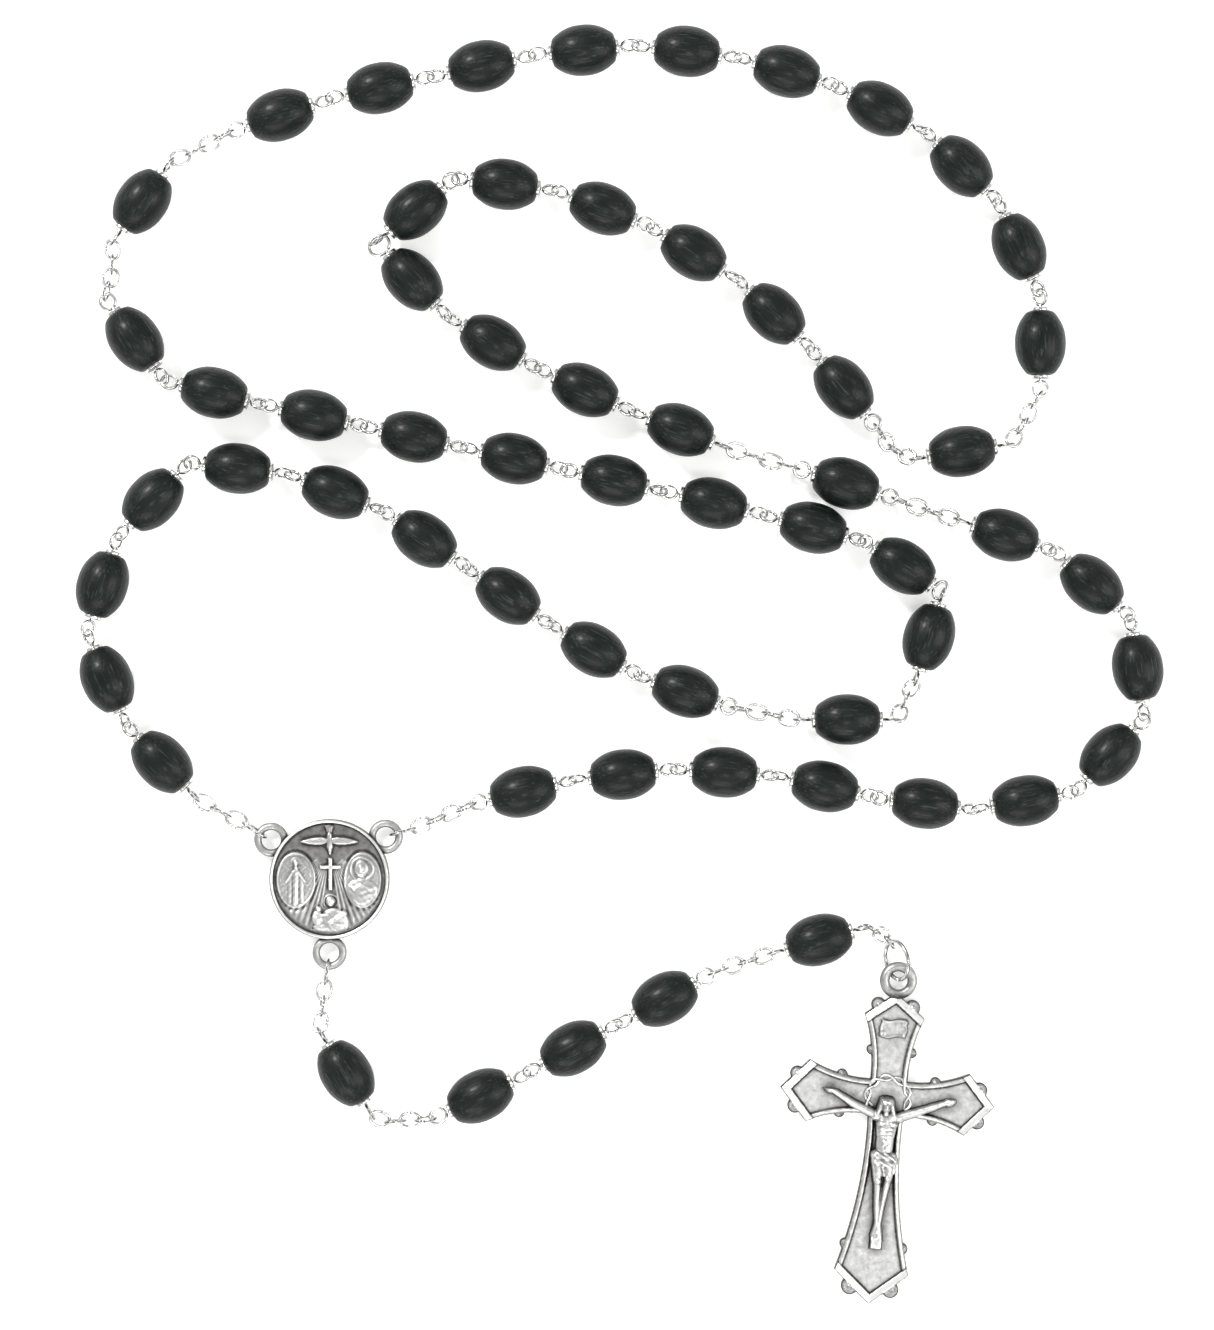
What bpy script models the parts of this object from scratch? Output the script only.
"""Rosary of oval wood beads on wire eye pins, with a round centre medal and a crucifix.

It lies face up on z = 0: +X is right, +Y is up the long way, +Z is towards the viewer.
Route points are in millimetres on the table; everything else is in metres.
"""
import math

import bmesh
import bpy
from mathutils import Matrix, Vector

MM = 0.001

# Beads, caps and wire
BEAD_LENGTH = 8.0 * MM
BEAD_RADIUS = 3.0 * MM
BEAD_AXIS_HEIGHT = BEAD_RADIUS
CAP_RADIUS = 1.1 * MM
CAP_THICKNESS = 0.43 * MM
WIRE_RADIUS = 0.2 * MM
EYE_ROOT = 0.07 * MM           # how deep its wire starts in the cap
EYE_RADIUS = 1.0 * MM          # half its width, to the middle of the wire
WIDE_EYE_RADIUS = 1.15 * MM    # where the strand turns sharply
SHARP_TURN = math.radians(42)
CORNER_EYE_RADIUS = 1.35 * MM  # where it turns back on itself
CORNER_TURN = math.radians(85)
LINK_HALF_WIDTH = 0.88 * MM    # to the middle of the wire
FUSED_REACH = 0.1 * MM         # how far a ring passes its neighbour inside one solid
FREE_REACH = 0.38 * MM         # the same at a moving joint, which leaves a gap
CORNER_REACH = 0.62 * MM       # the same at a corner
BAIL_GAP = 0.32 * MM           # clearance of the first ring round a casting's bail
CHAIN_SAG = 1.2 * MM
END_CHAIN_SAG = 0.5 * MM

# Centre medal
MEDAL_CENTRE = Vector((-34.6, -25.7, 0)) * MM
MEDAL_RADIUS = 7.15 * MM
MEDAL_THICKNESS = 2.0 * MM
MEDAL_RIM_WIDTH = 0.55 * MM
MEDAL_RECESS = 0.35 * MM
BAIL_RADIUS = 1.6 * MM
BAIL_WIRE_RADIUS = 0.45 * MM
BAIL_HEIGHT = 1.1 * MM
SIDE_BAIL_REACH = 8.4 * MM
BOTTOM_BAIL_REACH = 8.8 * MM
LEFT_BAIL_ANGLE = math.radians(146)
RIGHT_BAIL_ANGLE = math.radians(37)
BOTTOM_BAIL_ANGLE = math.radians(-90)

# Crucifix, in its own frame: the arms cross at (0, 0) and +y is its top
CRUCIFIX_CROSSING = Vector((32.1, -51.8, 0)) * MM
CRUCIFIX_TILT = math.radians(-5.3)
CRUCIFIX_THICKNESS = 1.6 * MM
CRUCIFIX_TOP = 12.5 * MM
CRUCIFIX_BOTTOM = -24.8 * MM
CRUCIFIX_ARM = 12.85 * MM
CRUCIFIX_WAIST = 2.2 * MM
CRUCIFIX_BAIL_OFFSET = 1.55 * MM
CRUCIFIX_BAIL_RADIUS = 1.65 * MM
CRUCIFIX_BAIL_WIRE_RADIUS = 0.58 * MM
CRUCIFIX_BAIL_HEIGHT = 1.3 * MM

# Each run starts where the run before it ends: (name, pieces, the corners of its route in mm)
LEFT_START = (-42.95, -20.2)
LEFT_RUNS = [
    ("chain", 4, [(-44.6, -19.1), (-48.2, -17.4), (-50.2, -16.0)]),
    ("decade_1", range(1, 11), [(-58.4, -7.7), (-63.5, 3.2), (-59.9, 14.9), (-51.1, 24.2), (-39.2, 22.6),
                                (-28.0, 18.2), (-8.2, 4.7), (2.2, -1.3), (13.6, -5.2)]),
    ("chain", 4, [(21.2, -6.6)]),
    ("our_father", [1], [(33.1, -6.6)]),
    ("chain", 3, [(34.0, -4.6), (35.2, -2.2)]),
    ("decade_2", range(1, 3), [(38.6, 8.8), (29.0, 14.7)]),
    ("decade_2", range(3, 11), [(17.4, 17.7), (5.6, 20.5), (-19.1, 25.9), (-43.2, 31.1), (-54.9, 33.9), (-61.2, 43.6)]),
    ("chain", 4, [(-60.6, 46.0), (-60.3, 50.2)]),
    ("our_father", [2], [(-53.2, 59.9)]),
    ("chain", 4, [(-46.2, 63.4)]),
    ("decade_3", range(1, 6), [(-34.3, 67.3), (-9.7, 72.6), (2.4, 73.7), (14.2, 72.2)]),
]
RIGHT_START = (-26.45, -20.2)
RIGHT_RUNS = [
    ("chain", 5, [(-24.4, -19.6), (-17.3, -16.6)]),
    ("decade_5", range(10, 0, -1), [(-5.5, -13.8), (6.7, -12.5), (19.0, -13.3), (31.0, -16.0), (43.0, -17.4),
                                    (54.4, -15.2), (63.0, -6.0), (60.8, 5.8), (51.6, 13.6), (40.2, 17.2)]),
    ("chain", 4, [(36.3, 18.5), (32.8, 19.7)]),
    ("our_father", [4], [(21.2, 23.3)]),
    ("chain", 4, [(13.1, 25.7)]),
    ("decade_4", range(10, 6, -1), [(1.5, 30.1), (-10.1, 35.4), (-20.7, 41.5), (-28.9, 50.2)]),
    ("decade_4", range(6, 0, -1), [(-20.1, 57.9), (-7.9, 56.5), (3.9, 52.0), (14.4, 45.6), (23.0, 37.4), (30.6, 28.3)]),
    ("chain", 4, [(32.6, 25.6), (35.0, 24.4)]),
    ("our_father", [3], [(46.6, 26.2)]),
    ("chain", 4, [(48.2, 28.6), (50.2, 32.2)]),
    ("decade_3", range(10, 5, -1), [(50.1, 44.2), (45.3, 54.9), (36.8, 63.2), (25.9, 68.8), (14.2, 72.2)]),
]
PENDANT_START = (-34.8, -36.2)
PENDANT_RUNS = [
    ("chain", 4, [(-35.4, -40.2), (-35.7, -43.6)]),
    ("our_father", [5], [(-29.3, -53.8)]),
    ("chain", 4, [(-28.2, -54.7), (-22.1, -54.1)]),
    ("pendant_bead", range(1, 4), [(-10.9, -48.7), (10.9, -36.9)]),
    ("chain", 4, [(18.1, -34.5)]),
    ("our_father", [6], [(29.5, -31.2)]),
    ("chain", 4, [(31.2, -32.0), (32.7, -33.6), (33.2, -36.15)]),
]
OPEN_END = "decade_3_bead_05"      # the loop is opened after this bead
HELD_TOGETHER = ("decade_3_bead_04", "decade_3_bead_05")

# Facets
RING_SEGMENTS = 6
ROUND_RING_SEGMENTS = 10           # on the bails and at the sharp turns, where room is short
WIRE_SEGMENTS = 4
BEAD_SEGMENTS = 8
BEAD_ROWS = 2
BEAD_ROLL = math.radians(13)       # the rolls keep edges of joined solids from meeting exactly
RING_ROLL = math.radians(4)
MEDAL_SEGMENTS = 24
BAIL_SEGMENTS = 10
BAIL_WIRE_SEGMENTS = 5

WOOD = ((0.020, 0.026, 0.024), 0.42, 0.0)
SILVER = ((0.56, 0.56, 0.55), 0.30, 1.0)


def remove_startup_objects():
    for found in list(bpy.data.objects):
        bpy.data.objects.remove(found, do_unlink=True)


def make_material(name, look):
    colour, roughness, metallic = look
    material = bpy.data.materials.new(name)
    material.use_nodes = True
    shader = material.node_tree.nodes["Principled BSDF"]
    shader.inputs["Base Color"].default_value = (*colour, 1.0)
    shader.inputs["Roughness"].default_value = roughness
    shader.inputs["Metallic"].default_value = metallic
    material.diffuse_color = (*colour, 1.0)
    return material


# ---- laying the strands out

def step_along(points, chord, count):
    """Walk dividers set to one chord along a path and return where each step lands."""
    steps = [points[0]]
    segment = 0
    for _ in range(count):
        here = steps[-1]
        while segment < len(points) - 2 and (points[segment + 1] - here).length < chord:
            segment += 1
        start, end = points[segment], points[segment + 1]
        along = (end - start).normalized()
        back = (start - here).dot(along)
        miss = (start - here).length_squared - chord * chord
        steps.append(start + along * (-back + math.sqrt(max(back * back - miss, 0.0))))
    return steps


def divide_run(points, count):
    """Divide a path into equal chords, as a maker does with dividers."""
    short, long = 0.0, sum((b - a).length for a, b in zip(points, points[1:])) / count
    last_leg = (points[-1] - points[-2]).normalized()
    for _ in range(50):
        chord = (short + long) / 2
        overshoot = (step_along(points, chord, count)[-1] - points[-1]).dot(last_leg)
        if overshoot > 0:
            long = chord
        else:
            short = chord
    return step_along(points, short, count)


def chain_height(start_height, end_height, share):
    level = start_height == end_height
    sag = CHAIN_SAG if level else END_CHAIN_SAG
    return start_height + (end_height - start_height) * share - sag * math.sin(math.pi * share)


def lay_branch(start, runs, start_height, end_height):
    """Return the pieces of one branch in order, each with its name and its two end points."""
    pieces = []
    here = Vector(start)
    for index, (name, members, corners) in enumerate(runs):
        is_chain = name == "chain"
        count = members if is_chain else len(members)
        stops = divide_run([here] + [Vector(corner) for corner in corners], count)
        low_start = start_height if index == 0 else BEAD_AXIS_HEIGHT
        low_end = end_height if index == len(runs) - 1 else BEAD_AXIS_HEIGHT
        heights = [BEAD_AXIS_HEIGHT] * (count + 1)
        if is_chain:
            heights = [chain_height(low_start, low_end, k / count) for k in range(count + 1)]
        ends = [Vector((p.x * MM, p.y * MM, z)) for p, z in zip(stops, heights)]
        for k in range(count):
            if is_chain:
                label = None
            elif name == "our_father":
                label = f"our_father_bead_{members[k]}"
            elif name == "pendant_bead":
                label = f"pendant_bead_{members[k]}"
            else:
                label = f"{name}_bead_{members[k]:02d}"
            pieces.append({"bead": label, "start": ends[k], "end": ends[k + 1]})
        here = stops[-1]
    for number, piece in enumerate(pieces):
        piece["upright"] = number % 2 == 0
        piece["half_width"] = LINK_HALF_WIDTH
    hook_onto_bail(pieces[0], "back_reach", BAIL_WIRE_RADIUS)
    if not pieces[-1]["bead"]:
        hook_onto_bail(pieces[-1], "front_reach", CRUCIFIX_BAIL_WIRE_RADIUS)
    return pieces


def hook_onto_bail(link, end, bail_wire_radius):
    """Size the ring that hangs on a casting: its joint is the middle of the bail's wire."""
    link[end] = bail_wire_radius + BAIL_GAP + WIRE_RADIUS
    link["half_width"] = max(LINK_HALF_WIDTH, link[end])


def turn_between(first, second):
    """The angle in plan between two neighbouring pieces."""
    return (first["end"] - first["start"]).xy.angle((second["end"] - second["start"]).xy)


def group_units(pieces):
    """Share the links out among the beads: half of each chain goes to the bead on either side."""
    bead_places = [k for k, piece in enumerate(pieces) if piece["bead"]]
    units = []
    first = 0
    for order, place in enumerate(bead_places):
        if order + 1 < len(bead_places):
            last = (place + bead_places[order + 1]) // 2
        else:
            last = len(pieces) - 1
        if (pieces[place]["bead"], ) == HELD_TOGETHER[:1]:
            continue
        units.append((first, last))
        first = last + 1
    return units


# ---- solids

def evaluated_mesh(thing):
    graph = bpy.context.evaluated_depsgraph_get()
    graph.update()
    return bpy.data.meshes.new_from_object(thing.evaluated_get(graph))


def weld(mesh):
    edit = bmesh.new()
    edit.from_mesh(mesh)
    bmesh.ops.remove_doubles(edit, verts=edit.verts, dist=1e-7)
    edit.to_mesh(mesh)
    edit.free()


def turned_mesh(profile, segments):
    """Turn an outline of (radius, height) points, listed from the top down, about Z."""
    mesh = bpy.data.meshes.new("turned")
    edges = [(k, k + 1) for k in range(len(profile) - 1)]
    mesh.from_pydata([(radius, 0, height) for radius, height in profile], edges, [])
    thing = bpy.data.objects.new("turned", mesh)
    bpy.context.scene.collection.objects.link(thing)
    screw = thing.modifiers.new("turn", "SCREW")
    screw.steps = screw.render_steps = segments
    screw.use_merge_vertices = True
    screw.merge_threshold = 0.000005
    result = evaluated_mesh(thing)
    bpy.data.objects.remove(thing, do_unlink=True)
    return result


def torus_mesh(radius, wire_radius, segments, wire_segments):
    bpy.ops.mesh.primitive_torus_add(major_radius=radius, minor_radius=wire_radius,
                                     major_segments=segments, minor_segments=wire_segments)
    thing = bpy.context.object
    mesh = thing.data
    bpy.data.objects.remove(thing, do_unlink=True)
    return mesh


def along_matrix(middle, direction, upright):
    """Local X along the strand; local Z up for a flat ring, sideways for an upright one."""
    ahead = direction.normalized()
    side = Vector((0, 0, 1)).cross(ahead).normalized()
    up = ahead.cross(side)
    if upright:
        side, up = up, -side
    turn = Matrix((ahead, side, up)).transposed()
    return Matrix.Translation(middle) @ turn.to_4x4()


def ring_mesh(start, end, half_width, upright, segments=RING_SEGMENTS):
    """A wire ring whose wire reaches from start to end."""
    middle = (start + end) / 2
    half_length = (end - start).length / 2
    ring = torus_mesh(half_width, WIRE_RADIUS, segments, WIRE_SEGMENTS)
    ring.transform(Matrix.Scale(half_length / half_width, 4, Vector((1, 0, 0))))
    ring.transform(along_matrix(middle, end - start, upright) @ Matrix.Rotation(RING_ROLL, 4, "X"))
    return ring


def bead_mesh(middle, direction):
    """An oval bead with its two end caps, as one turned solid."""
    half = BEAD_LENGTH / 2
    end_angle = math.asin(CAP_RADIUS / BEAD_RADIUS)
    reach = half / math.cos(end_angle)
    profile = [(0, half + CAP_THICKNESS), (CAP_RADIUS, half + CAP_THICKNESS)]
    for k in range(2 * BEAD_ROWS + 1):
        angle = end_angle + (math.pi - 2 * end_angle) * k / (2 * BEAD_ROWS)
        profile.append((BEAD_RADIUS * math.sin(angle), reach * math.cos(angle)))
    profile += [(CAP_RADIUS, -half - CAP_THICKNESS), (0, -half - CAP_THICKNESS)]
    bead = turned_mesh(profile, BEAD_SEGMENTS)
    bead.transform(Matrix.Rotation(math.pi / 2, 4, "Y") @ Matrix.Rotation(BEAD_ROLL, 4, "Z"))
    bead.transform(along_matrix(middle, direction, False))
    return bead


def join_solids(meshes):
    """Unite overlapping closed meshes into one closed mesh."""
    scene_objects = bpy.context.scene.collection.objects
    base = bpy.data.objects.new("base", meshes[0])
    scene_objects.link(base)
    others = []
    for mesh in meshes[1:]:
        other = bpy.data.objects.new("other", mesh)
        scene_objects.link(other)
        others.append(other)
        union = base.modifiers.new("union", "BOOLEAN")
        union.operation = "UNION"
        union.solver = "EXACT"
        union.object = other
    result = evaluated_mesh(base)
    for thing in [base] + others:
        bpy.data.objects.remove(thing, do_unlink=True)
    weld(result)
    return result


def eye_radius(pieces, place, neighbour):
    """Wider eyes where two beads meet at a sharp turn."""
    if not 0 <= neighbour < len(pieces) or not pieces[neighbour]["bead"]:
        return EYE_RADIUS
    turn = turn_between(pieces[min(place, neighbour)], pieces[max(place, neighbour)])
    if turn > CORNER_TURN:
        return CORNER_EYE_RADIUS
    return WIDE_EYE_RADIUS if turn > SHARP_TURN else EYE_RADIUS


def unit_solids(pieces, first, last):
    """The beads, eyes and links of one rigid length of the strand."""
    solids = []
    for place in range(first, last + 1):
        piece = pieces[place]
        start, end = piece["start"], piece["end"]
        ahead = (end - start).normalized()
        if not piece["bead"]:
            back = piece.get("back_reach", FREE_REACH if place == first else FUSED_REACH)
            front = piece.get("front_reach", FREE_REACH if place == last else FUSED_REACH)
            segments = ROUND_RING_SEGMENTS if "back_reach" in piece or "front_reach" in piece else RING_SEGMENTS
            solids.append(ring_mesh(start - ahead * back, end + ahead * front, piece["half_width"],
                                    piece["upright"], segments))
            continue
        middle = (start + end) / 2
        solids.append(bead_mesh(middle, ahead))
        cap_face = BEAD_LENGTH / 2 + CAP_THICKNESS
        for side in (-1, 1):
            neighbour = place + side
            if side > 0 and piece["bead"] == OPEN_END:
                continue
            radius = eye_radius(pieces, place, neighbour)
            free_reach = CORNER_REACH if radius == CORNER_EYE_RADIUS else FREE_REACH
            reach = FUSED_REACH if first <= neighbour <= last else free_reach
            root = middle + ahead * side * (cap_face - EYE_ROOT)
            tip = (start if side < 0 else end) + ahead * side * reach
            upright = piece["upright"] if side < 0 else not pieces[place + 1]["upright"] if (
                place + 1 < len(pieces)) else piece["upright"]
            segments = ROUND_RING_SEGMENTS if radius > EYE_RADIUS else RING_SEGMENTS
            solids.append(ring_mesh(root, tip, radius, upright, segments))
    return solids


def crucifix_outline():
    """Flared arms that end in points; the right half, from the top round to the bottom."""
    waist = CRUCIFIX_WAIST
    right = [(3.55 * MM, 9.7 * MM), (2.4 * MM, 6.0 * MM), (waist, 2.0 * MM), (6.2 * MM, 2.3 * MM), (9.5 * MM, 3.7 * MM),
             (CRUCIFIX_ARM, 0), (9.5 * MM, -3.7 * MM), (6.2 * MM, -2.4 * MM), (waist, -2.1 * MM),
             (2.8 * MM, -12.0 * MM), (4.4 * MM, -21.0 * MM)]
    left = [(-x, y) for x, y in reversed(right)]
    return [(0, CRUCIFIX_TOP)] + right + [(0, CRUCIFIX_BOTTOM)] + left


def plate_mesh(outline, thickness):
    """A flat plate between z = 0 and its thickness."""
    curve = bpy.data.curves.new("outline", "CURVE")
    curve.dimensions = "2D"
    curve.fill_mode = "BOTH"
    curve.extrude = thickness / 2
    spline = curve.splines.new("POLY")
    spline.points.add(len(outline) - 1)
    for point, (x, y) in zip(spline.points, outline):
        point.co = (x, y, 0, 1)
    spline.use_cyclic_u = True
    thing = bpy.data.objects.new("outline", curve)
    bpy.context.scene.collection.objects.link(thing)
    plate = evaluated_mesh(thing)
    bpy.data.objects.remove(thing, do_unlink=True)
    weld(plate)
    plate.transform(Matrix.Translation((0, 0, thickness / 2)))
    return plate


def limb_mesh(start, end, start_radius, end_radius):
    """A tapered limb between two points."""
    bpy.ops.mesh.primitive_cone_add(vertices=8, radius1=start_radius, radius2=end_radius,
                                    depth=(end - start).length)
    thing = bpy.context.object
    limb = thing.data
    bpy.data.objects.remove(thing, do_unlink=True)
    turn = Vector((0, 0, 1)).rotation_difference(end - start).to_matrix().to_4x4()
    limb.transform(Matrix.Translation((start + end) / 2) @ turn)
    return limb


def figure_meshes():
    """A plain figure on the cross, in the crucifix's frame."""
    front = CRUCIFIX_THICKNESS

    def at(x, y, lift):
        return Vector((x * MM, y * MM, front + lift * MM))

    bpy.ops.mesh.primitive_uv_sphere_add(segments=8, ring_count=6, radius=0.95 * MM)
    thing = bpy.context.object
    head = thing.data
    bpy.data.objects.remove(thing, do_unlink=True)
    head.transform(Matrix.Translation(at(-0.5, 0.2, 0.7)))
    limbs = [(at(0, -0.6, 0.35), at(0, -5.6, 0.35), 1.25, 0.85), (at(0, -5.0, 0.4), at(0, -8.4, 0.4), 1.2, 1.35),
             (at(0, -8.0, 0.45), at(-0.1, -12.8, 0.6), 1.1, 0.65), (at(-0.1, -12.4, 0.5), at(0.2, -17.4, 0.3), 0.7, 0.5),
             (at(-0.6, -1.3, 0.3), at(-7.0, 1.0, 0.15), 0.6, 0.4), (at(0.6, -1.3, 0.3), at(7.0, 1.0, 0.15), 0.6, 0.4)]
    return [head] + [limb_mesh(a, b, wide * MM, narrow * MM) for a, b, wide, narrow in limbs]


def crucifix_mesh():
    bail = torus_mesh(CRUCIFIX_BAIL_RADIUS, CRUCIFIX_BAIL_WIRE_RADIUS, BAIL_SEGMENTS, BAIL_WIRE_SEGMENTS)
    bail.transform(Matrix.Translation((0, CRUCIFIX_TOP + CRUCIFIX_BAIL_OFFSET, CRUCIFIX_BAIL_HEIGHT)))
    plate = plate_mesh(crucifix_outline(), CRUCIFIX_THICKNESS)
    cross = join_solids([plate, bail] + figure_meshes())
    cross.transform(Matrix.Translation(CRUCIFIX_CROSSING) @ Matrix.Rotation(CRUCIFIX_TILT, 4, "Z"))
    return cross


def medal_mesh():
    top = MEDAL_THICKNESS
    field = top - MEDAL_RECESS
    bevel = 0.12 * MM
    profile = [(0, field), (MEDAL_RADIUS - MEDAL_RIM_WIDTH - bevel, field), (MEDAL_RADIUS - MEDAL_RIM_WIDTH, top),
               (MEDAL_RADIUS - bevel, top), (MEDAL_RADIUS, top - bevel), (MEDAL_RADIUS, 0), (0, 0)]
    solids = [turned_mesh(profile, MEDAL_SEGMENTS)]
    for angle, reach in ((LEFT_BAIL_ANGLE, SIDE_BAIL_REACH), (RIGHT_BAIL_ANGLE, SIDE_BAIL_REACH),
                         (BOTTOM_BAIL_ANGLE, BOTTOM_BAIL_REACH)):
        bail = torus_mesh(BAIL_RADIUS, BAIL_WIRE_RADIUS, BAIL_SEGMENTS, BAIL_WIRE_SEGMENTS)
        place = (reach * math.cos(angle), reach * math.sin(angle), BAIL_HEIGHT)
        bail.transform(Matrix.Translation(place))
        solids.append(bail)
    medal = join_solids(solids)
    medal.transform(Matrix.Translation(MEDAL_CENTRE))
    return medal


def add_part(name, mesh, pivot, heading, material, collection, parent):
    """Name a finished mesh and place it, with its origin on its joint."""
    part = bpy.data.objects.new(name, mesh)
    collection.objects.link(part)
    part.parent = parent
    part.location = pivot
    part.rotation_euler = (0, 0, heading)
    if not mesh.materials:
        mesh.materials.append(material)
    mesh.shade_smooth()
    mesh.set_sharp_from_angle(angle=math.radians(40))
    return part


def build_branch(pieces, wood, collection, parent):
    """Make one solid for each bead and its share of the chain; like units share one mesh."""
    shared = {}
    for first, last in group_units(pieces):
        pivot = pieces[first]["start"]
        names = [piece["bead"] for piece in pieces[first:last + 1] if piece["bead"]]
        ahead = pieces[first]["end"] - pivot
        heading = math.atan2(ahead.y, ahead.x)
        to_pivot = Matrix.Rotation(-heading, 4, "Z") @ Matrix.Translation(-pivot)
        plain = first == last and names[0] != OPEN_END
        key = (round(ahead.length * 1e6), eye_radius(pieces, first, first - 1), eye_radius(pieces, first, first + 1),
               pieces[first]["upright"], len(pieces) > last + 1 and pieces[last + 1]["upright"]) if plain else names[0]
        if key not in shared:
            solid = join_solids(unit_solids(pieces, first, last))
            solid.transform(to_pivot)
            shared[key] = solid
        label = names[0] if len(names) == 1 else "decade_3_beads_04_05"
        add_part(label, shared[key], pivot, heading, wood, collection, parent)


def branches():
    return [lay_branch(LEFT_START, LEFT_RUNS, BAIL_HEIGHT, BEAD_AXIS_HEIGHT),
            lay_branch(RIGHT_START, RIGHT_RUNS, BAIL_HEIGHT, BEAD_AXIS_HEIGHT),
            lay_branch(PENDANT_START, PENDANT_RUNS, BAIL_HEIGHT, CRUCIFIX_BAIL_HEIGHT)]


def centre_on_base(parts, frame):
    """Put the frame's origin under the middle of the whole rosary's box."""
    bpy.context.view_layer.update()
    corners = [part.matrix_world @ vertex.co for part in parts for vertex in part.data.vertices]
    low = Vector(min(corner[axis] for corner in corners) for axis in range(3))
    high = Vector(max(corner[axis] for corner in corners) for axis in range(3))
    frame.location = (-(low.x + high.x) / 2, -(low.y + high.y) / 2, -low.z)


def main():
    remove_startup_objects()
    rosary = bpy.data.collections.new("rosary")
    bpy.context.scene.collection.children.link(rosary)
    frame = bpy.data.objects.new("rosary_frame", None)
    rosary.objects.link(frame)
    wood = make_material("black_wood", WOOD)
    silver = make_material("antique_silver", SILVER)
    for pieces in branches():
        build_branch(pieces, wood, rosary, frame)
    medal = medal_mesh()
    medal.transform(Matrix.Translation(-MEDAL_CENTRE))
    add_part("center_medal", medal, MEDAL_CENTRE, 0, silver, rosary, frame)
    crucifix = crucifix_mesh()
    pivot = branches()[2][-1]["end"]
    crucifix.transform(Matrix.Translation(-pivot))
    add_part("crucifix", crucifix, pivot, 0, silver, rosary, frame)
    centre_on_base([thing for thing in rosary.objects if thing.type == "MESH"], frame)


main()
